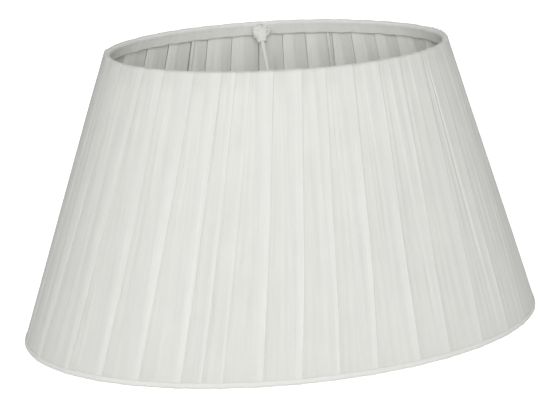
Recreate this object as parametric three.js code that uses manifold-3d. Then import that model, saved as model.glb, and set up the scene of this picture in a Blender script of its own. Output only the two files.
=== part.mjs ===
// An oval lamp shade in pleated chiffon. Two oval wire rings are joined by straight
// struts, two sloping arms carry a flat fitter ring with a lift-out plastic reducer,
// and the pleated cloth cover is hemmed over both rings.
// Millimetres, +Z up, +X along the oval's long axis. The origin is on the ground,
// under the middle of the shade, and the shade stands on its bottom hem.
import * as THREE from 'three';
import { mergeVertices } from 'three/addons/utils/BufferGeometryUtils.js';
import Module from 'manifold-3d';

// The shade over its cloth.
const baseLength = 350;
const baseWidth = 200;
const topLength = 219;
const topWidth = 147;
const height = 191;

// The cloth: pleats lie three layers thick, and a hem is folded round each ring.
const coverThickness = 1;
const hemThickness = 0.8;
const topHemLip = 5;       // height of the top hem on the outside
const topHemTurnIn = 9;    // depth of the top hem on the inside
const bottomHemHeight = 5;

// The wire frame. Each wire is given by its diameter.
const ringWire = 3.2;
const strutWire = 2.4;
const armWire = 3.2;
const strutCount = 6;

// The fitter: a flat steel ring below the top rim, on two arms.
const fitterDrop = 30;     // from the middle of the top ring's wire to the fitter's top face
const fitterBore = 42;
const fitterRingWidth = 7; // of flat steel, round the bore
const fitterThickness = 1.6;
const armBend = 4;         // length on each side of the arm's corner that its bend takes up
const armSetback = 1.5;    // from the fitter's bore to the arm's flat end

// The reducer takes the fitter down to a standard lampholder.
const reducerBore = 29;
const reducerLap = 3.5;    // how far the flange rests on the fitter ring
const reducerWeb = 1.6;
const reducerSpigotDepth = 3.5;
const reducerSpigotWall = 1.8;
const reducerCollarWall = 1.5;
const reducerCollarHeight = 1;

// Clearances.
const seatGap = 0.3;       // between pieces that are welded, glued or resting
const hemClearance = 0.4;  // between a hem and the wire inside it
const spigotClearance = 0.4;

// How finely the curved pieces are faceted.
const ovalSegments = 96;
const roundSegments = 36;
const wireSides = 8;
const armSteps = 14;

// Worked out from the sizes above.
const hemWidth = ringWire + 2 * (hemClearance + hemThickness);
const bottomWireLevel = hemWidth / 2;
const topWireLevel = height - hemWidth / 2;
const fitterTop = topWireLevel - fitterDrop;
const fitterOuterRadius = fitterBore / 2 + fitterRingWidth;

const wasm = await Module();
wasm.setup();

const cloth = new THREE.MeshStandardMaterial({ color: 0xe4e6e0, roughness: 0.9, metalness: 0 });
const hemCloth = new THREE.MeshStandardMaterial({ color: 0xeceee9, roughness: 0.9, metalness: 0 });
const coatedWire = new THREE.MeshStandardMaterial({ color: 0xe9e9e4, roughness: 0.45, metalness: 0.1 });
const fitterSteel = new THREE.MeshStandardMaterial({ color: 0xdfdfda, roughness: 0.4, metalness: 0.2 });
const whitePlastic = new THREE.MeshStandardMaterial({ color: 0xf0efe9, roughness: 0.55, metalness: 0 });

// Half length and half width of the shade's outside at a level above the ground.
function ovalAt(level) {
  const up = level / height;
  return {
    a: THREE.MathUtils.lerp(baseLength, topLength, up) / 2,
    b: THREE.MathUtils.lerp(baseWidth, topWidth, up) / 2,
  };
}

// A point that lies `inset` inside the outside surface, square to the oval at that level.
function ovalPoint(angle, inset, level, z = level) {
  const { a, b } = ovalAt(level);
  const across = new THREE.Vector2(b * Math.cos(angle), a * Math.sin(angle)).normalize();
  const x = a * Math.cos(angle) - inset * across.x;
  const y = b * Math.sin(angle) - inset * across.y;
  return new THREE.Vector3(x, y, z);
}

// A closed section turned round the Z axis. Each corner is [radius, z].
function turned(corners, segments) {
  const profile = [...corners, corners[0]].map(([radius, z]) => new THREE.Vector2(radius, z));
  return new THREE.LatheGeometry(profile, segments).rotateX(Math.PI / 2);
}

// A closed section carried round the oval. Each corner is [inset, z]. The section leans
// with the shade's wall, or stays upright where a fixed level is given.
function carriedRoundOval(corners, fixedLevel = null) {
  const reach = baseLength;
  const geometry = turned(corners.map(([inset, z]) => [reach - inset, z]), ovalSegments);
  const position = geometry.attributes.position;
  for (let i = 0; i < position.count; i += 1) {
    const [x, y, z] = [position.getX(i), position.getY(i), position.getZ(i)];
    const point = ovalPoint(Math.atan2(y, x), reach - Math.hypot(x, y), fixedLevel ?? z, z);
    position.setXYZ(i, point.x, point.y, point.z);
  }
  return geometry;
}

function toSolid(geometry) {
  const bare = geometry.clone();
  bare.deleteAttribute('normal');
  bare.deleteAttribute('uv');
  const merged = mergeVertices(bare, 1e-4);
  return new wasm.Manifold(new wasm.Mesh({
    numProp: 3,
    vertProperties: new Float32Array(merged.attributes.position.array),
    triVerts: new Uint32Array(merged.index.array),
  }));
}

function toGeometry(solid) {
  const mesh = solid.getMesh();
  const geometry = new THREE.BufferGeometry();
  geometry.setAttribute('position', new THREE.BufferAttribute(mesh.vertProperties, 3));
  geometry.setIndex(new THREE.BufferAttribute(mesh.triVerts, 1));
  return geometry;
}

function piece(name, geometry, material) {
  const mesh = new THREE.Mesh(geometry, material);
  mesh.name = name;
  return mesh;
}

// The cover: the pleated strip as it lies on the frame, from hem to hem.
function pleatedCover() {
  const low = bottomHemHeight + seatGap;
  const high = height - topHemLip - seatGap;
  return carriedRoundOval([
    [0, low],
    [0, high],
    [coverThickness, high],
    [coverThickness, low],
  ]);
}

// The bottom hem is a channel round the bottom ring, with a flat underside.
function bottomHem() {
  return carriedRoundOval([
    [0, 0],
    [0, bottomHemHeight],
    [hemThickness, bottomHemHeight],
    [hemThickness, hemThickness],
    [hemWidth - hemThickness, hemThickness],
    [hemWidth - hemThickness, bottomHemHeight],
    [hemWidth, bottomHemHeight],
    [hemWidth, 0],
  ]);
}

// The top hem goes over the top ring and is turned down inside. It is nicked from below
// where each arm leaves the ring.
function topHem() {
  const inner = hemWidth - hemThickness;
  const band = carriedRoundOval([
    [0, height - topHemLip],
    [0, height],
    [hemWidth, height],
    [hemWidth, height - topHemTurnIn],
    [inner, height - topHemTurnIn],
    [inner, height - hemThickness],
    [hemThickness, height - hemThickness],
    [hemThickness, height - topHemLip],
  ]);
  const nickLow = height - topHemTurnIn - hemThickness;
  const nickHigh = topWireLevel + armWire / 2;
  const ringSide = ovalPoint(Math.PI / 2, hemWidth / 2, topWireLevel);
  let hem = toSolid(band);
  for (const side of [1, -1]) {
    const nick = new THREE.BoxGeometry(armWire + 2 * hemClearance, hemWidth, nickHigh - nickLow);
    nick.translate(0, side * (ringSide.y - hemWidth / 2), (nickLow + nickHigh) / 2);
    hem = hem.subtract(toSolid(nick));
  }
  return toGeometry(hem);
}

// A ring of round wire that lies level inside its hem.
function ovalRing(level) {
  const section = [];
  for (let i = 0; i < wireSides; i += 1) {
    const turn = (2 * Math.PI * (i + 0.5)) / wireSides;
    const inset = hemWidth / 2 - (ringWire / 2) * Math.cos(turn);
    section.push([inset, level + (ringWire / 2) * Math.sin(turn)]);
  }
  return carriedRoundOval(section, level);
}

// How far short of a ring's middle a strut ends, so that its whole end face clears the
// wire. `skew` is the share of the strut's direction that runs along the ring.
function strutTrim(along, angle, level) {
  const { a, b } = ovalAt(level);
  const ringWay = new THREE.Vector3(-a * Math.sin(angle), b * Math.cos(angle), 0).normalize();
  const skew = Math.abs(along.dot(ringWay));
  return (ringWire / 2 + seatGap + (strutWire / 2) * skew) / Math.sqrt(1 - skew * skew);
}

// A strut stands between the two rings, with its ends butted to them.
function strut(index) {
  const base = ovalAt(0);
  const share = index / strutCount;
  const angle = 2 * Math.PI * new THREE.EllipseCurve(0, 0, base.a, base.b).getUtoTmapping(share);
  const foot = ovalPoint(angle, hemWidth / 2, bottomWireLevel);
  const head = ovalPoint(angle, hemWidth / 2, topWireLevel);
  const along = head.clone().sub(foot).normalize();
  foot.addScaledVector(along, strutTrim(along, angle, bottomWireLevel));
  head.addScaledVector(along, -strutTrim(along, angle, topWireLevel));
  const length = foot.distanceTo(head);
  const wire = new THREE.CylinderGeometry(strutWire / 2, strutWire / 2, length, wireSides);
  const mesh = piece(`strut_${index + 1}`, wire, coatedWire);
  mesh.position.copy(foot).add(head).multiplyScalar(0.5);
  mesh.quaternion.setFromUnitVectors(new THREE.Vector3(0, 1, 0), along);
  return mesh;
}

// An arm slopes from the back of the top ring down to a flat tail under the fitter ring.
function fitterArm() {
  const ringMiddle = ovalPoint(Math.PI / 2, hemWidth / 2, topWireLevel);
  const tailLevel = fitterTop - fitterThickness - seatGap - armWire / 2;
  const end = new THREE.Vector3(0, fitterBore / 2 + armSetback, tailLevel);
  const corner = new THREE.Vector3(0, fitterOuterRadius + armBend, tailLevel);
  const downArm = corner.clone().sub(ringMiddle).normalize();
  const start = ringMiddle.clone().addScaledVector(downArm, ringWire / 2 + seatGap);
  const bendStart = corner.clone().addScaledVector(downArm, -armBend);
  const bendEnd = corner.clone().setY(corner.y - armBend);
  const route = new THREE.CurvePath();
  route.add(new THREE.LineCurve3(start, bendStart));
  route.add(new THREE.QuadraticBezierCurve3(bendStart, corner, bendEnd));
  route.add(new THREE.LineCurve3(bendEnd, end));
  const section = new THREE.Shape().absarc(0, 0, armWire / 2, 0, 2 * Math.PI);
  return new THREE.ExtrudeGeometry(section, {
    steps: armSteps,
    curveSegments: wireSides / 2,
    extrudePath: route,
  });
}

function fitterRing() {
  return turned([
    [fitterOuterRadius, fitterTop - fitterThickness],
    [fitterOuterRadius, fitterTop],
    [fitterBore / 2, fitterTop],
    [fitterBore / 2, fitterTop - fitterThickness],
  ], roundSegments);
}

// The reducer hangs by its flange: a spigot drops into the fitter's bore, and a low
// collar stands round its own bore.
function reducerRing() {
  const seat = fitterTop + seatGap;
  const spigotOuter = fitterBore / 2 - spigotClearance;
  const spigotInner = spigotOuter - reducerSpigotWall;
  const spigotEnd = seat - reducerSpigotDepth;
  const webTop = seat + reducerWeb;
  const bore = reducerBore / 2;
  const flange = fitterBore / 2 + reducerLap;
  return turned([
    [spigotOuter, spigotEnd],
    [spigotOuter, seat],
    [flange, seat],
    [flange, webTop],
    [bore + reducerCollarWall, webTop],
    [bore + reducerCollarWall, webTop + reducerCollarHeight],
    [bore, webTop + reducerCollarHeight],
    [bore, seat],
    [spigotInner, seat],
    [spigotInner, spigotEnd],
  ], roundSegments);
}

const frame = new THREE.Group();
frame.add(piece('bottom_ring', ovalRing(bottomWireLevel), coatedWire));
frame.add(piece('top_ring', ovalRing(topWireLevel), coatedWire));
for (let index = 0; index < strutCount; index += 1) {
  frame.add(strut(index));
}

const fitter = new THREE.Group();
const backArm = piece('back_arm', fitterArm(), coatedWire);
const frontArm = piece('front_arm', fitterArm(), coatedWire);
frontArm.rotation.z = Math.PI;
fitter.add(backArm, frontArm);
fitter.add(piece('fitter_ring', fitterRing(), fitterSteel));
fitter.add(piece('reducer_ring', reducerRing(), whitePlastic));

const cover = new THREE.Group();
cover.add(piece('pleated_cover', pleatedCover(), cloth));
cover.add(piece('top_hem', topHem(), hemCloth));
cover.add(piece('bottom_hem', bottomHem(), hemCloth));

const shade = new THREE.Group();
shade.add(frame, fitter, cover);

export default shade;
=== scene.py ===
"""An oval lamp shade in pleated off-white chiffon, dressed round its packed wire frame."""

import math

import bpy
import numpy as np
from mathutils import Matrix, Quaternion, Vector


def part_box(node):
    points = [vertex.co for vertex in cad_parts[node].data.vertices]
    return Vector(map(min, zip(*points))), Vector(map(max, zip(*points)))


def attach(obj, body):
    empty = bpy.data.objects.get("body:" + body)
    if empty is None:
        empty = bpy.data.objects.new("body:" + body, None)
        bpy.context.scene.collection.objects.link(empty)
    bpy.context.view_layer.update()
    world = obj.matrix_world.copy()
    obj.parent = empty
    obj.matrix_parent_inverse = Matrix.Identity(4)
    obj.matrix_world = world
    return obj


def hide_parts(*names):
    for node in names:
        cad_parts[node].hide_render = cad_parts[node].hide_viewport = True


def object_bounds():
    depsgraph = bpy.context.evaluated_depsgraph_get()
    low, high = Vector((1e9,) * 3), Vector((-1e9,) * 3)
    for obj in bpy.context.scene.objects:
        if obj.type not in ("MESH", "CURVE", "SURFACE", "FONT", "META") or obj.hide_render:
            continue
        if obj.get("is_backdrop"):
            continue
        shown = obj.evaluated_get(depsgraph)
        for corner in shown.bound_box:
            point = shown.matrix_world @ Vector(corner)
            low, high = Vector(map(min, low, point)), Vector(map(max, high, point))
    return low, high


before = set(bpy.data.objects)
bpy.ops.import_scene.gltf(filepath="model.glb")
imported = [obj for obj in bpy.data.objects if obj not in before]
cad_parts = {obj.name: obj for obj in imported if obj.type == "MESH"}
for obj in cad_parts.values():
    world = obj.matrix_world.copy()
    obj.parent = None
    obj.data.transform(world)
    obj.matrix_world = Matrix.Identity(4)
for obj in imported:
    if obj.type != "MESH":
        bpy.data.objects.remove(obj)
cad_low, cad_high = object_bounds()


# The two oval rings are hard-drawn steel wire, bent to shape, butt-welded and coated
# off-white. The cloth hides them, so the frame's own rings stay and take the coating.
coat_colour = (0.74, 0.743, 0.725, 1)


def node_tree(name):
    """A new material's nodes and links, emptied down to its output."""
    material = bpy.data.materials.new(name)
    material.use_nodes = True
    tree = material.node_tree
    tree.nodes.clear()
    output = tree.nodes.new("ShaderNodeOutputMaterial")
    return material, tree, output


def speckle_group():
    """A node group: Tone is 1 plus or minus half of Amount times a broad noise, and Height is a
    fine noise at Grain cells per metre, both on Object coordinates."""
    group = bpy.data.node_groups.new("Coating speckle", "ShaderNodeTree")
    made = group.interface.new_socket
    made("Grain", in_out="INPUT", socket_type="NodeSocketFloat").default_value = 900
    made("Amount", in_out="INPUT", socket_type="NodeSocketFloat").default_value = 0.05
    made("Tone", in_out="OUTPUT", socket_type="NodeSocketFloat")
    made("Height", in_out="OUTPUT", socket_type="NodeSocketFloat")
    nodes, links = group.nodes, group.links
    start, end = nodes.new("NodeGroupInput"), nodes.new("NodeGroupOutput")
    place = nodes.new("ShaderNodeTexCoord")
    broad, fine = nodes.new("ShaderNodeTexNoise"), nodes.new("ShaderNodeTexNoise")
    broad.inputs["Scale"].default_value = 140
    centred = nodes.new("ShaderNodeMath")
    centred.operation = "SUBTRACT"
    centred.inputs[1].default_value = 0.5
    tone = nodes.new("ShaderNodeMath")
    tone.operation = "MULTIPLY_ADD"
    tone.inputs[2].default_value = 1
    links.new(place.outputs["Object"], broad.inputs["Vector"])
    links.new(place.outputs["Object"], fine.inputs["Vector"])
    links.new(start.outputs["Grain"], fine.inputs["Scale"])
    links.new(broad.outputs["Fac"], centred.inputs[0])
    links.new(centred.outputs[0], tone.inputs[0])
    links.new(start.outputs["Amount"], tone.inputs[1])
    links.new(tone.outputs[0], end.inputs["Tone"])
    links.new(fine.outputs["Fac"], end.inputs["Height"])
    return group


speckle = speckle_group()


def speckled(name, colour, roughness, metallic, grain, amount, bump):
    """A coated or moulded finish: the colour times the speckle's tone, with its fine height
    as bump, `bump` metres deep."""
    material, tree, output = node_tree(name)
    nodes, links = tree.nodes, tree.links
    shader = nodes.new("ShaderNodeBsdfPrincipled")
    shader.inputs["Roughness"].default_value = roughness
    shader.inputs["Metallic"].default_value = metallic
    mask = nodes.new("ShaderNodeGroup")
    mask.node_tree = speckle
    mask.inputs["Grain"].default_value = grain
    mask.inputs["Amount"].default_value = amount
    tint = nodes.new("ShaderNodeVectorMath")
    tint.operation = "SCALE"
    tint.inputs[0].default_value = colour[:3]
    raised = nodes.new("ShaderNodeBump")
    raised.inputs["Strength"].default_value = 0.6
    raised.inputs["Distance"].default_value = bump
    links.new(mask.outputs["Tone"], tint.inputs["Scale"])
    links.new(tint.outputs[0], shader.inputs["Base Color"])
    links.new(mask.outputs["Height"], raised.inputs["Height"])
    links.new(raised.outputs["Normal"], shader.inputs["Normal"])
    links.new(shader.outputs[0], output.inputs["Surface"])
    return material


coated_wire = speckled("Coated wire", coat_colour, 0.42, 0.0, 1500, 0.08, 0.00006)
for name in ("bottom_ring", "top_ring"):
    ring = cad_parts[name]
    ring.data.materials.clear()
    ring.data.materials.append(coated_wire)


def wire_middle(node):
    """Half length, half width and level of a ring's middle line, from its box."""
    low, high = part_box(node)
    radius = (high.z - low.z) / 2
    return high.x - radius, high.y - radius, (high.z + low.z) / 2


bottom_oval = wire_middle("bottom_ring")
top_oval = wire_middle("top_ring")
ring_radius = 0.0016


def oval(angle, sizes):
    """Points of a level oval: (a cos, b sin, level) at each angle."""
    a, b, level = sizes
    return np.stack([a * np.cos(angle), b * np.sin(angle), np.full_like(angle, level)], -1)


def unit(vectors):
    """The vectors, each scaled to a length of 1."""
    return vectors / np.linalg.norm(vectors, axis=-1, keepdims=True)


def wall_axes(angle, share):
    """On the straight-sided wall between the rings' middle lines, at an angle round the oval
    and a share of the way up: the point, the way up the wall, and the way square out of it."""
    low, high = oval(angle, bottom_oval), oval(angle, top_oval)
    part = share[..., None]
    up = unit(high - low)
    a = bottom_oval[0] + share * (top_oval[0] - bottom_oval[0])
    b = bottom_oval[1] + share * (top_oval[1] - bottom_oval[1])
    round_it = unit(np.stack([-a * np.sin(angle), b * np.cos(angle), 0 * angle], -1))
    return low + part * (high - low), up, unit(np.cross(round_it, up))


def grid_piece(
    name, points, material, wrap_rows=False, wrap_columns=False, uv=None, body="shade"
):
    """A mesh of four-sided faces on a grid of points [row, column]. A grid that wraps joins its
    last row or column to its first. `uv` holds one more row or column wherever it wraps."""
    rows, columns = points.shape[:2]
    row, column = np.meshgrid(
        np.arange(rows if wrap_rows else rows - 1),
        np.arange(columns if wrap_columns else columns - 1),
        indexing="ij",
    )
    row, column = row.ravel(), column.ravel()
    corners = [(row, column), (row, column + 1), (row + 1, column + 1), (row + 1, column)]
    faces = np.stack([(r % rows) * columns + c % columns for r, c in corners], 1)
    mesh = bpy.data.meshes.new(name)
    mesh.vertices.add(rows * columns)
    mesh.vertices.foreach_set("co", points.reshape(-1).astype(np.float32))
    mesh.loops.add(faces.size)
    mesh.loops.foreach_set("vertex_index", faces.reshape(-1).astype(np.int32))
    mesh.polygons.add(len(faces))
    mesh.polygons.foreach_set("loop_start", np.arange(0, faces.size, 4, dtype=np.int32))
    mesh.polygons.foreach_set("use_smooth", np.ones(len(faces), bool))
    mesh.update(calc_edges=True)
    if uv is not None:
        layer = mesh.uv_layers.new(name="cloth")
        flat = np.stack([uv[r, c] for r, c in corners], 1)
        layer.data.foreach_set("uv", flat.reshape(-1).astype(np.float32))
    mesh.validate()
    mesh.materials.append(material)
    piece = bpy.data.objects.new(name, mesh)
    bpy.context.scene.collection.objects.link(piece)
    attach(piece, body)
    return piece


# The struts are thinner wires, welded end-on to the two rings. Each weld leaves a small
# flare where the wire meets the ring.
wire_sides = 20
strut_radius = 0.0012
weld_flare = 0.0007
weld_reach = 0.0022
weld_middle = 0.0008
weld_gap = 0.0001


def wire_along(name, line, radii, material):
    """A round wire: circles of the given radii, square to a line of points. At each end the
    last circle is repeated with almost no width, which closes the wire with a flat face."""
    way = unit(np.gradient(line, axis=0))
    side = unit(np.cross(way, [0.1, 1.0, 0.05] if abs(way[0, 2]) > 0.8 else [1.0, 0.1, 0.05]))
    other = np.cross(side, way)
    turn = np.arange(wire_sides) * 2 * np.pi / wire_sides
    circle = side[:, None] * np.cos(turn)[:, None] + other[:, None] * np.sin(turn)[:, None]
    circle = np.concatenate([circle[:1] * 1e-3, circle * radii[:, None, None], circle[-1:] * 1e-3])
    circle[0], circle[-1] = circle[0] * radii[0], circle[-1] * radii[-1]
    line = np.concatenate([line[:1], line, line[-1:]])
    return grid_piece(name, line[:, None] + circle, material, wrap_columns=True)


for number in range(1, 7):
    node = f"strut_{number}"
    low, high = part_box(node)
    middle = (np.array(low) + np.array(high)) / 2
    angles = np.linspace(0, 2 * np.pi, 7201)
    halfway = (oval(angles, bottom_oval) + oval(angles, top_oval)) / 2
    angle = angles[np.argmin(np.linalg.norm(halfway - middle, axis=1))]
    foot, head = oval(np.array(angle), bottom_oval), oval(np.array(angle), top_oval)
    length = np.linalg.norm(head - foot)
    trim = (ring_radius + weld_gap) / length
    ends = trim + np.array([0, weld_middle, weld_reach]) / length
    shares = np.concatenate([ends, np.linspace(0.05, 0.95, 9), 1 - ends[::-1]])
    from_end = np.minimum(shares - trim, 1 - trim - shares) * length
    swell = weld_flare * np.clip(1 - from_end / weld_reach, 0, 1) ** 2
    line = foot + shares[:, None] * (head - foot)
    strut = wire_along(f"round_{node}", line, strut_radius + swell, coated_wire)
    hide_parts(node)


# Two arms of the rings' wire slope from the long sides of the top ring to the fitter. Each
# ends in a short level tail, welded under the fitter ring.
fitter_low, fitter_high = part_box("fitter_ring")
fitter_outer = fitter_high.x
arm_radius = 0.0016
corner_clear = 0.004
bend_reach = 0.004


def bow(start, corner, end, part):
    """Points at each part of a quadratic bend, which leaves the start towards the corner and
    comes to the end from it."""
    return (1 - part) ** 2 * start + 2 * part * (1 - part) * corner + part**2 * end


for node, side in (("back_arm", 1), ("front_arm", -1)):
    low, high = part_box(node)
    # This is the level for an eight-sided wire lying on a flat. The frame's own arm lies on a
    # corner, so the one drawn here is 0.12 mm low.
    arm_level = low.z + arm_radius * math.cos(math.pi / 8)
    tail_end = np.array([0, min(abs(low.y), abs(high.y)), arm_level])
    corner = np.array([0, fitter_outer + corner_clear, arm_level])
    start = np.array([0, top_oval[1], top_oval[2]])
    down = unit(corner - start)
    start = start + down * (ring_radius + weld_gap)
    bend_start, bend_end = corner - down * bend_reach, corner - np.array([0, bend_reach, 0])
    slope = start + np.linspace(0, 1, 14)[:, None] * (bend_start - start)
    bend = bow(bend_start, corner, bend_end, np.linspace(0, 1, 9)[1:-1, None])
    tail = bend_end + np.linspace(0, 1, 6)[:, None] * (tail_end - bend_end)
    line = np.concatenate([slope, bend, tail])
    reach = np.linalg.norm(line - start, axis=1)
    radii = arm_radius + weld_flare * np.clip(1 - reach / weld_reach, 0, 1) ** 2
    arm = wire_along(f"round_{node}", line * [1, side, 1], radii, coated_wire)
    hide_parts(node)


# The fitter is a flat ring stamped from sheet steel, deburred and coated with the frame.
ring_steps = 128


def turned_piece(name, corners, rounding, material, body="shade"):
    """A closed profile of (radius, level) corners, each rounded by a short arc, turned once
    round the Z axis."""
    corners = np.array(corners)
    before, after = np.roll(corners, 1, 0) - corners, np.roll(corners, -1, 0) - corners
    shorter = np.minimum(np.linalg.norm(before, axis=1), np.linalg.norm(after, axis=1))
    cut = np.minimum(rounding, 0.45 * shorter)[:, None]
    start, end = corners + unit(before) * cut, corners + unit(after) * cut
    arc = bow(start[:, None], corners[:, None], end[:, None], np.linspace(0, 1, 5)[:, None])
    profile = arc.reshape(-1, 2)
    turn = np.arange(ring_steps) * 2 * np.pi / ring_steps
    points = np.stack([
        profile[:, None, 0] * np.cos(turn),
        profile[:, None, 0] * np.sin(turn),
        np.repeat(profile[:, 1:], ring_steps, 1),
    ], -1)
    return grid_piece(name, points, material, wrap_rows=True, wrap_columns=True, body=body)


fitter_coat = speckled("Fitter coat", (0.72, 0.725, 0.70, 1), 0.38, 0.0, 1200, 0.10, 0.00005)
fitter_bore = 0.021
fitter = turned_piece("stamped_fitter_ring", [
    (fitter_outer, fitter_low.z),
    (fitter_outer, fitter_high.z),
    (fitter_bore, fitter_high.z),
    (fitter_bore, fitter_low.z),
], 0.0004, fitter_coat)
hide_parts("fitter_ring")


# The reducer is a loose moulding in white plastic. Its spigot drops into the fitter's bore,
# its flange rests on top, and a low collar stands round its own bore.
reducer_plastic = speckled(
    "Reducer plastic", (0.80, 0.795, 0.765, 1), 0.5, 0.0, 2500, 0.03, 0.00002
)
reducer_low, reducer_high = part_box("reducer_ring")
flange = reducer_high.x
collar_top = reducer_high.z
collar_height = 0.001
collar_wall = 0.0015
web_top = collar_top - collar_height
web_thickness = 0.0016
web_low = web_top - web_thickness
spigot_clear = 0.0004
spigot_wall = 0.0018
spigot = fitter_bore - spigot_clear
reducer_bore = 0.0145
reducer = turned_piece("moulded_reducer_ring", [
    (spigot, reducer_low.z),
    (spigot, web_low),
    (flange, web_low),
    (flange, web_top),
    (reducer_bore + collar_wall, web_top),
    (reducer_bore + collar_wall, collar_top),
    (reducer_bore, collar_top),
    (reducer_bore, web_low),
    (spigot - spigot_wall, web_low),
    (spigot - spigot_wall, reducer_low.z),
], 0.0003, reducer_plastic, body="reducer")
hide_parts("reducer_ring")


# The cover is one long strip of sheer chiffon, knife-pleated and stretched from ring to ring.
# Every fold takes in the cloth that the wall leaves over, so its three-layer band is narrow at
# the wide bottom and wide at the top. The strip is turned over the top ring and glued inside.
pleats = 35
join_after = 11
first_fold = 0.06
lean = -0.4
cloth_per_pleat = 0.035
cloth_thickness = 0.00008
layer_step = 0.00014
first_layer = ring_radius + 0.00012
draw = np.random.default_rng(7)

fine_angles = np.linspace(0, 2 * np.pi, 4001)


def steps_round(sizes):
    """Lengths of the short steps round a level oval, one for each fine angle but the last."""
    return np.linalg.norm(np.diff(oval(fine_angles, sizes), axis=0), axis=1)


around_bottom, around_top = steps_round(bottom_oval).sum(), steps_round(top_oval).sum()
halfway_oval = np.mean([bottom_oval, top_oval], axis=0)
walked = np.concatenate([[0], np.cumsum(steps_round(halfway_oval))])


def angle_of(part):
    """The angle round the oval at a part of the way round it, going clockwise from above and
    measured along the oval half way up."""
    return -np.interp(part % 1, walked / walked[-1], fine_angles)


def perimeter(share):
    """Length round the wall at a share of its height."""
    return around_bottom + share * (around_top - around_bottom)


def smooth_step(value):
    """0 below 0, 1 above 1, and a cubic with level ends between."""
    value = np.clip(value, 0, 1)
    return value * value * (3 - 2 * value)


def with_join(values):
    """One value for each fold, with the mean of its neighbours put in for the narrow extra
    fold where the two ends of the strip meet."""
    between = (values[..., join_after] + values[..., join_after + 1]) / 2
    return np.insert(values, join_after + 1, between, axis=-1)


# Each fold is a little off its place, leans by its own amount, takes in more or less cloth
# and stands more or less open along its edge.
fold_number = with_join(np.arange(pleats, dtype=float))
folds = len(fold_number)
fold_shift = with_join(draw.uniform(-0.09, 0.09, pleats))
fold_lean = with_join(draw.uniform(-0.12, 0.12, pleats))
fold_sway = with_join(draw.uniform(-0.0007, 0.0007, (2, pleats)))
fold_phase = with_join(draw.uniform(0, 2 * np.pi, (2, pleats)))
fold_depth = with_join(draw.uniform(0.7, 1.2, pleats))
fold_depth[join_after:join_after + 2] *= 0.5
fold_open = draw.uniform(0.00002, 0.00018, folds)


def fold_places(share):
    """Where each fold and the next one lie at each share of the height, as parts of the way
    round: evenly spaced, then shifted, leaning, and swaying on two slow sines."""
    rows = share[:, None]
    place = (fold_number + first_fold + fold_shift + (lean + fold_lean) * rows) / pleats
    slow, quick = np.sin(3.5 * rows + fold_phase[0]), np.sin(8 * rows + fold_phase[1])
    place = place + (fold_sway[0] * slow + 0.4 * fold_sway[1] * quick) / perimeter(rows)
    return place, np.concatenate([place[:, 1:], place[:, :1] + 1], 1)


def band_widths(share):
    """Width of each fold's band at each share of the height, as a part of the way round: half
    of what the cloth of a pleat has over the wall's own pitch, by the fold's depth, and never
    more than 0.74 of the way to the next fold."""
    rows = share[:, None]
    place, following = fold_places(share)
    spare = (cloth_per_pleat - perimeter(rows) / pleats) / 2
    return np.minimum(spare * fold_depth / perimeter(rows), 0.74 * (following - place))


# Rows of the cover, from under the bottom ring to inside the top one: the share of the way up
# the wall, the turn about the ring, and how far the cloth runs on past the ring's middle.
wall_rows = np.linspace(0, 1, 17)
under_bottom = np.radians([-75, -50, -25])
over_top = np.radians(np.arange(18, 181, 18))
inside_run = np.array([-0.0005, -0.001, -0.0015])
row_share = np.concatenate([0 * under_bottom, wall_rows, 0 * over_top + 1, 0 * inside_run + 1])
row_turn = np.concatenate([under_bottom, 0 * wall_rows, over_top, 0 * inside_run + np.pi])
row_run = np.concatenate([0 * under_bottom, 0 * wall_rows, 0 * over_top, inside_run])
slack = 0.12 + 0.88 * smooth_step(np.minimum(row_share, 1 - row_share) / 0.14)

# Columns of one pleat, in the order of the strip: over the fold's own band, across to the next
# fold, in under its band, and back out to its edge. `across` is the way to the next fold,
# `over` and `under` count in bands from this fold's edge and the next one's.
own_band = np.array([0, 0.08, 0.2, 0.36, 0.54, 0.74, 0.93])
panel = np.linspace(0.03, 0.975, 22)
tucked = np.array([0.04, 0.3, 0.62, 0.92])
inner_fold, outer_fold = np.array([1.01]), np.array([-0.012])
lying = [own_band, panel, tucked, inner_fold, tucked[::-1], outer_fold]


def columns(*values):
    """One value or array of values for each of the six stretches of a pleat, end to end."""
    return np.concatenate([part * np.ones_like(like) for part, like in zip(values, lying)])


across = columns(0, panel, 1, 1, 1, 1)
over = columns(own_band, 1 - panel, 0, 0, 0, 0)
under = columns(0, 0, tucked, inner_fold, tucked[::-1], outer_fold)
layer = columns(2, 2 - 2 * smooth_step(panel / 0.26), 0, 0.5, 1, 1.5)
own_edge = columns((1 - own_band) ** 1.5, 0, 0, 0, 0, 0)
next_edge = columns(0, 0, 0, 0, 0.75 * (1 - tucked[::-1]) ** 1.5, 0.9)
# These marks are 1 where the cloth lies three thick and about 0.34 over a single layer. Painted
# shading is added on top. The value falls from 1 at a fold's raised edge to 0.45 at its band's far
# side. It then drops to almost 0 just before the next fold, a painted shadow of that fold's edge
# on the panel.
band_layers_and_shading = 1 - 0.55 * smooth_step((own_band - 0.3) / 0.6)
panel_layer_and_fold_shadow = 0.34 + 0.11 * np.exp(-panel / 0.1) - 0.34 * np.exp((panel - 1) / 0.2)
layers_and_shade_seen = columns(band_layers_and_shading, panel_layer_and_fold_shadow, 1, 1, 1, 1)

here, there = fold_places(row_share)
band = band_widths(row_share)
place = (
    here[..., None]
    + across * (there - here)[..., None]
    + over * band[..., None]
    + under * np.roll(band, -1, 1)[..., None]
)

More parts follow.
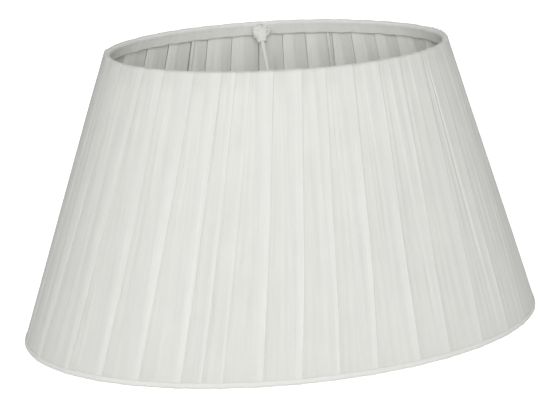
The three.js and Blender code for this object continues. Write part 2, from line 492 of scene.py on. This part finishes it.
# Each panel has two small soft tucks, which rise slowly, drop sharply on the side of the fold
# they face, and fade in and out along the height.
tuck_lift = np.zeros(place.shape)
panel_width = ((there - here - band) * perimeter(row_share[:, None]))[..., None]
for nearest, furthest in ((0.15, 0.45), (0.5, 0.85)):
    middle = draw.uniform(nearest, furthest, (folds, 1))
    height = draw.uniform(0.0001, 0.00036, (folds, 1))
    level = draw.uniform(0.1, 0.9, (folds, 1))
    reach = draw.uniform(0.12, 0.4, (folds, 1))
    beyond = (across - middle) * panel_width
    ridge = np.where(beyond > 0, np.exp(-beyond / 0.003), np.exp(beyond / 0.0008))
    fade = 1 / (1 + np.exp((np.abs(row_share[:, None, None] - level) - reach) / 0.05))
    tuck_lift += height * ridge * fade * (over > 0) * (across > 0)

# Fine lengthwise creases: a sum of sines round the wall, each a whole number of waves, whose
# phase drifts with height and whose strength comes and goes. Each sine has the same slope, so
# the wider it is, the higher.
crease_slope = 0.027
crease_lift = np.zeros(place.shape)
rows = row_share[:, None, None]
for waves in draw.integers(46, 230, 16):
    phase, drift = draw.uniform(0, 2 * np.pi, 3), draw.uniform(-3, 3, 2)
    coming = 2 * np.pi * draw.integers(5, 14) * place + phase[0] + drift[0] * rows
    swell = 0.6 + 0.4 * np.sin(coming)
    wave = np.sin(2 * np.pi * waves * place + phase[1] + drift[1] * rows)
    crease_lift += crease_slope * perimeter(0.5) / (2 * np.pi * waves) * swell * wave

edge_lift = own_edge * fold_open[:, None] + next_edge * np.roll(fold_open, -1)[:, None]
loose = slack[:, None, None]
lift = first_layer + layer * layer_step * (0.65 + 0.35 * loose)
lift = lift + loose * (edge_lift + tuck_lift + crease_lift)

# At both ends of the top oval the cloth crumples as it goes over the rim: the size of a sum of
# two slanting sines, which leaves rounded ridges with sharp valleys between them.
crumple_height = 0.0008
near_end = np.exp(-((top_oval[1] * np.sin(angle_of(place)) / 0.02) ** 2))
over_rim = np.where(row_share == 1, np.exp(-(((row_turn - 0.85) / 0.55) ** 2)), 0)[:, None, None]
slant = row_turn[:, None, None]
fine_ridge = np.sin(2 * np.pi * 83 * place + 1.7 * slant)
broad_ridge = np.sin(2 * np.pi * 57 * place - 2.3 * slant)
ridges = fine_ridge + 0.8 * broad_ridge
lift = lift + crumple_height * near_end * over_rim * np.abs(ridges)
place, lift = place.reshape(len(row_share), -1), lift.reshape(len(row_share), -1)

point, up, out = wall_axes(angle_of(place), np.repeat(row_share[:, None], place.shape[1], 1))
turn = row_turn[:, None, None]
away = np.cos(turn) * out + np.sin(turn) * up
cover_points = point + up * row_run[:, None, None] + away * lift[..., None]


def lengths(line, closed=False):
    """Lengths along a line of points, from its first to each one, and round to the first
    again where it is closed."""
    steps = np.diff(line, axis=0, append=line[:1]) if closed else np.diff(line, axis=0)
    return np.concatenate([[0], np.cumsum(np.linalg.norm(steps, axis=1))])


along_strip = lengths(cover_points[len(row_share) // 2], closed=True)
up_strip = lengths(cover_points[:, 0])
cover_uv = np.stack(np.meshgrid(along_strip, up_strip), -1)


def chiffon_group():
    """A node group for chiffon on a UV map in metres. Tone is 1 plus or minus Depth times the
    sum of two thread noises, two lengths of slub streak and broad blotches. Height is the
    threads and streaks alone."""
    group = bpy.data.node_groups.new("Chiffon weave", "ShaderNodeTree")
    made = group.interface.new_socket
    made("Depth", in_out="INPUT", socket_type="NodeSocketFloat").default_value = 0.05
    made("Tone", in_out="OUTPUT", socket_type="NodeSocketFloat")
    made("Height", in_out="OUTPUT", socket_type="NodeSocketFloat")
    nodes, links = group.nodes, group.links
    start, end = nodes.new("NodeGroupInput"), nodes.new("NodeGroupOutput")
    place = nodes.new("ShaderNodeUVMap")
    place.uv_map = "cloth"
    warp, weft = (5200, 900, 1), (900, 5200, 1)
    long_slub, short_slub, blotch = (620, 7, 1), (1500, 30, 1), (55, 40, 1)
    parts = []
    for scale, detail in ((warp, 1), (weft, 1), (long_slub, 3), (short_slub, 2), (blotch, 2)):
        stretch = nodes.new("ShaderNodeMapping")
        stretch.inputs["Scale"].default_value = scale
        noise = nodes.new("ShaderNodeTexNoise")
        noise.inputs["Scale"].default_value = 1
        noise.inputs["Detail"].default_value = detail
        links.new(place.outputs["UV"], stretch.inputs["Vector"])
        links.new(stretch.outputs["Vector"], noise.inputs["Vector"])
        parts.append(noise.outputs["Fac"])

    def weighted(weights, start_value):
        total = None
        for part, weight in zip(parts, weights):
            step = nodes.new("ShaderNodeMath")
            step.operation = "MULTIPLY_ADD"
            step.inputs[1].default_value = weight
            step.inputs[2].default_value = start_value
            links.new(part, step.inputs[0])
            if total is not None:
                links.new(total, step.inputs[2])
            total = step.outputs[0]
        return total

    tone_weights = (0.7, 0.7, 1.3, 0.9, 0.5)
    tone = nodes.new("ShaderNodeMath")
    tone.operation = "MULTIPLY_ADD"
    tone.inputs[2].default_value = 1
    links.new(weighted(tone_weights, -sum(tone_weights) / 2), tone.inputs[0])
    links.new(start.outputs["Depth"], tone.inputs[1])
    links.new(tone.outputs[0], end.inputs["Tone"])
    links.new(weighted((0.25, 0.25, 1.0, 0.5, 0), 0), end.inputs["Height"])
    return group


chiffon = chiffon_group()


def chiffon_material(name, thin_colour, thick_colour, depth, bump, see_through):
    """Sheer cloth: light both bounces off it and passes through it. A point attribute of the piece
    mixes it from the thinner, darker colour to the thicker, lighter one: 1 where the cloth lies
    three thick, lower over one layer, and lower still where shade is painted in beside the folds."""
    material, tree, output = node_tree(name)
    nodes, links = tree.nodes, tree.links
    weave = nodes.new("ShaderNodeGroup")
    weave.node_tree = chiffon
    weave.inputs["Depth"].default_value = depth
    layers_and_shade = nodes.new("ShaderNodeAttribute")
    layers_and_shade.attribute_name = "layers_and_shade"
    colour = nodes.new("ShaderNodeMix")
    colour.data_type = "RGBA"
    colour.inputs["A"].default_value = thin_colour
    colour.inputs["B"].default_value = thick_colour
    tint = nodes.new("ShaderNodeVectorMath")
    tint.operation = "SCALE"
    raised = nodes.new("ShaderNodeBump")
    raised.inputs["Strength"].default_value = 0.5
    raised.inputs["Distance"].default_value = bump
    front = nodes.new("ShaderNodeBsdfPrincipled")
    front.inputs["Roughness"].default_value = 0.72
    front.inputs["Sheen Weight"].default_value = 0.15
    front.inputs["Sheen Roughness"].default_value = 0.4
    through = nodes.new("ShaderNodeBsdfTranslucent")
    blend = nodes.new("ShaderNodeMixShader")
    blend.inputs[0].default_value = see_through
    links.new(layers_and_shade.outputs["Fac"], colour.inputs["Factor"])
    links.new(colour.outputs["Result"], tint.inputs[0])
    links.new(weave.outputs["Tone"], tint.inputs["Scale"])
    links.new(tint.outputs[0], front.inputs["Base Color"])
    links.new(tint.outputs[0], through.inputs["Color"])
    links.new(weave.outputs["Height"], raised.inputs["Height"])
    links.new(raised.outputs["Normal"], front.inputs["Normal"])
    links.new(front.outputs[0], blend.inputs[1])
    links.new(through.outputs[0], blend.inputs[2])
    links.new(blend.outputs[0], output.inputs["Surface"])
    return material


cover_cloth = chiffon_material(
    "Pleated chiffon", (0.893, 0.899, 0.866, 1), (0.982, 0.987, 0.962, 1), 0.09, 0.00024, 0.4
)
cover = grid_piece(
    "pleated_chiffon_cover", cover_points, cover_cloth, wrap_columns=True, uv=cover_uv
)
# The cover carries these marks, layers and painted shading together, as a point attribute. They
# are scaled by 1.15 at the bottom, down to 0.55 at the top, and held to 1 at most. So towards the
# top the cloth turns darker and its bands show less.
marks = cover.data.attributes.new("layers_and_shade", "FLOAT", "POINT")
fading = 1.15 - 0.6 * row_share[:, None]
seen = np.minimum(fading * np.tile(layers_and_shade_seen, folds), 1)
marks.data.foreach_set("value", seen.reshape(-1).astype(np.float32))


def thicken(piece, thickness):
    """Gives a sheet its real thickness, half to each side."""
    wall = piece.modifiers.new("thickness", "SOLIDIFY")
    wall.thickness = thickness
    wall.offset = 0


thicken(cover, cloth_thickness)
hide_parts("pleated_cover")


# The hems are narrow bias strips of the same chiffon. The bottom one is folded round the
# bottom ring over the ends of the pleats, and the top one is glued inside the top ring. Inside,
# both slope back towards the wall, as far as the struts let them.
hem_columns = folds * 21
hem_place = np.arange(hem_columns) / hem_columns
hem_thickness = 0.00016
hem_clear = 0.00016
edge_height = 0.0014
gather_reach = 0.011
top_gather = 0.00022
bottom_gather = 0.00008


def soft_rise(value):
    """From 0 to 1 on a logistic curve with its middle at 0."""
    return 1 / (1 + np.exp(-np.clip(value, -40, 40)))


def over_pleats(share):
    """How far the hem is lifted over the folds at each of its columns: 1 over a band, 0 clear
    of it, with a short rise at the fold's edge and a longer one at the band's far side."""
    start, width = fold_places(np.array([share]))[0], band_widths(np.array([share]))
    past_edge = (hem_place[:, None] - start + 0.5) % 1 - 0.5
    metre = 1 / perimeter(share)
    rise = soft_rise((past_edge + 0.0008 * metre) / (0.0003 * metre))
    return (rise * soft_rise((1.12 * width - past_edge) / (0.15 * width))).max(1)


def hem_piece(name, share, turns, runs, gathered, material):
    """A strip carried round a ring: each row has its turn about the ring and its run past the
    ring's middle. It is lifted over the pleats and has two fine ripples, and a coarser bunching
    of height `gathered` near the oval's four middle points: both ends and both arms. On the
    inside the lift goes evenly to `edge_height` at the last row. The ends wander a little."""
    point, up, out = wall_axes(angle_of(hem_place), np.full(hem_columns, float(share)))
    turns, runs = np.array(turns)[:, None, None], np.array(runs)[:, None, None]
    way = 2 * np.pi * hem_place
    ripple = 0.00005 * np.sin(211 * way + 1.5 * np.sin(9 * way))
    ripple = ripple + 0.00007 * np.sin(97 * way + np.sin(5 * way))
    from_middle = np.minimum(np.abs(point[:, 0]), np.abs(point[:, 1]))
    near = np.exp(-((from_middle / gather_reach) ** 2))
    bunch = gathered * near * (0.6 + 0.4 * np.sin(131 * way) + 0.5 * np.sin(83 * way + 2))
    lift = first_layer + 2 * 0.65 * layer_step * over_pleats(share) + hem_clear + ripple + bunch
    inside = np.abs(runs[..., 0]) * (np.abs(turns[..., 0]) > 3)
    lift = lift + inside / inside.max() * (edge_height - lift)
    away = np.cos(turns) * out + np.sin(turns) * up
    wander = 1 + (0.02 * np.sin(31 * way) + 0.02 * np.sin(53 * way + 1))[None, :, None]
    points = point + up * runs * wander + away * lift[..., None]
    long, wide = lengths(points[0], closed=True), lengths(points[:, 0])
    uv = np.stack(np.meshgrid(long, wide), -1)
    return grid_piece(name, points, material, wrap_columns=True, uv=uv), (long[-1], wide[-1])


hem_cloth = chiffon_material(
    "Hem chiffon", (0.965, 0.97, 0.944, 1), (0.97, 0.975, 0.95, 1), 0.05, 0.00012, 0.36
)
round_under = np.radians(np.arange(0, -181, -18))
bottom_hem, flat = hem_piece(
    "folded_bottom_hem", 0,
    np.concatenate([[0, 0, 0], round_under, [-np.pi] * 4]),
    np.concatenate([[0.0021, 0.0014, 0.0007], 0 * round_under, [0.0012, 0.0024, 0.0036, 0.0046]]),
    bottom_gather, hem_cloth,
)
thicken(bottom_hem, hem_thickness)
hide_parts("bottom_hem")

turned_in = np.radians(np.arange(110, 181, 14))
top_hem, flat = hem_piece(
    "turned_in_top_hem", 1,
    np.concatenate([turned_in, [np.pi] * 7]),
    np.concatenate([0 * turned_in, -np.arange(1, 8) * 0.00105]),
    top_gather, hem_cloth,
)
thicken(top_hem, hem_thickness)
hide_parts("top_hem")


# Where each arm comes through the top hem, a scrap of the chiffon is bunched round the weld and
# glued, so the cut edges don't show.
wrap_start = 0.0022
wrap_length = 0.0135
wrap_clear = 0.0005
wrap_swell = 0.0024
wrap_crumple = 0.0008
wrap_edge = 0.00008
wrap_widening = 1.3
widest_row = 17


def bunched_wrap(name, side):
    """A tube of cloth along an arm: its radius is the arm's and a clearance, plus a bell curve
    with its middle at 0.4 of the length, plus a crumple that fades to the lower edge. The
    crumple is a sum of three slanting sines round the arm and two along it. The tube is wider
    along the ring by `wrap_widening`."""
    part, turn = np.meshgrid(
        np.linspace(0, 1, 42), np.arange(72) * 2 * np.pi / 72, indexing="ij"
    )
    phase = draw.uniform(0, 2 * np.pi, 5)
    lobes = 0.5 * np.sin(3 * turn + phase[0] + 4 * part)
    lobes = lobes + 0.4 * np.sin(5 * turn + phase[1] - 7 * part)
    lobes = lobes + 0.35 * np.sin(8 * turn + phase[2] + 9 * part)
    rolls = 0.45 * np.sin(21 * part + 2 * turn + phase[3])
    rolls = rolls + 0.3 * np.sin(34 * part - turn + phase[4])
    swell = wrap_swell * np.exp(-(((part - 0.4) / 0.28) ** 2))
    crumple = wrap_crumple * (1 - smooth_step((part - 0.35) / 0.65)) + wrap_edge
    radius = arm_radius + wrap_clear + swell + crumple * (lobes + rolls)
    start = np.array([0, top_oval[1], top_oval[2]])
    down = unit(np.array([0, fitter_outer + corner_clear, arm_level]) - start)
    square = np.cross([1, 0, 0], down)
    middle = start + down * (wrap_start + wrap_length * part)[..., None]
    ring_way = np.cos(turn)[..., None] * np.array([wrap_widening, 0, 0])
    ring_way = ring_way + np.sin(turn)[..., None] * square
    wrap_points = (middle + radius[..., None] * ring_way) * [1, side, 1]
    if side < 0:
        wrap_points = wrap_points[:, ::-1]
    long, wide = lengths(wrap_points[widest_row], closed=True), lengths(wrap_points[:, 0])
    uv = np.stack(np.meshgrid(long, wide), -1)
    wrap = grid_piece(
        f"bunched_wrap_{name}", wrap_points, hem_cloth, wrap_columns=True, uv=uv
    )
    cut = np.mean([lengths(row, closed=True)[-1] for row in wrap_points]) * wide[-1]
    return wrap, (long[-1], wide[-1]), cut


for side, name in ((1, "back"), (-1, "front")):
    wrap, flat, cut = bunched_wrap(name, side)
    thicken(wrap, hem_thickness)


# The stage is a plain white floor in a soft studio: a dim room, a large soft light in front,
# a weaker one behind and a weak one above. The floor's glow is seen only by the camera. It
# whitens the floor and adds no light.
floor_reach = 6
floor_corners = [(-floor_reach, -floor_reach, 0), (floor_reach, -floor_reach, 0)]
floor_corners += [(floor_reach, floor_reach, 0), (-floor_reach, floor_reach, 0)]
floor_mesh = bpy.data.meshes.new("floor")
floor_mesh.from_pydata(floor_corners, [], [(0, 1, 2, 3)])
floor_white, tree, output = node_tree("Pale floor")
shader = tree.nodes.new("ShaderNodeBsdfPrincipled")
shader.inputs["Base Color"].default_value = (0.9, 0.9, 0.9, 1)
shader.inputs["Roughness"].default_value = 0.95
shader.inputs["Specular IOR Level"].default_value = 0
shader.inputs["Emission Color"].default_value = (1, 1, 1, 1)
sight = tree.nodes.new("ShaderNodeLightPath")
glow = tree.nodes.new("ShaderNodeMath")
glow.operation = "MULTIPLY"
glow.inputs[1].default_value = 0.8
tree.links.new(sight.outputs["Is Camera Ray"], glow.inputs[0])
tree.links.new(glow.outputs[0], shader.inputs["Emission Strength"])
tree.links.new(shader.outputs[0], output.inputs["Surface"])
floor_mesh.materials.append(floor_white)
floor = bpy.data.objects.new("floor", floor_mesh)
bpy.context.scene.collection.objects.link(floor)
floor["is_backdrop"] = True

world = bpy.data.worlds.new("Studio")
world.use_nodes = True
world.node_tree.nodes["Background"].inputs["Color"].default_value = (1, 1, 1, 1)
world.node_tree.nodes["Background"].inputs["Strength"].default_value = 0.39
bpy.context.scene.world = world
bpy.context.scene.view_settings.view_transform = "Standard"


def soft_light(name, place, size, power):
    """A square area light at a place, turned to face the middle of the shade."""
    lamp = bpy.data.lights.new(name, "AREA")
    lamp.size = size
    lamp.energy = power
    light = bpy.data.objects.new(name, lamp)
    light.location = place
    way = Vector((0, 0, cad_high.z / 2)) - Vector(place)
    light.rotation_euler = way.to_track_quat("-Z", "Y").to_euler()
    bpy.context.scene.collection.objects.link(light)


soft_light("key", (-0.35, -2.0, 0.85), 1.0, 27)
soft_light("back", (0.6, 2.0, 0.8), 1.2, 9)
soft_light("top", (0, 0.2, 2.0), 1.6, 4)

# The camera stands a little left of the front and above it, tipped by a degree or two.
azimuth, elevation, roll = math.radians(-9.80), math.radians(18.62), math.radians(1.62)
distance = 0.873
lens = bpy.data.cameras.new("view")
lens.lens = 86.0
lens.sensor_width = 36
lens.shift_x = -0.0030
lens.shift_y = -0.0276
camera = bpy.data.objects.new("view", lens)
back = Vector((
    math.sin(azimuth) * math.cos(elevation),
    -math.cos(azimuth) * math.cos(elevation),
    math.sin(elevation),
))
camera.location = Vector((0, 0, cad_high.z / 2)) + back * distance
camera.rotation_mode = "QUATERNION"
camera.rotation_quaternion = (-back).to_track_quat("-Z", "Y") @ Quaternion((0, 0, 1), -roll)
bpy.context.scene.collection.objects.link(camera)
bpy.context.scene.camera = camera

low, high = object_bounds()
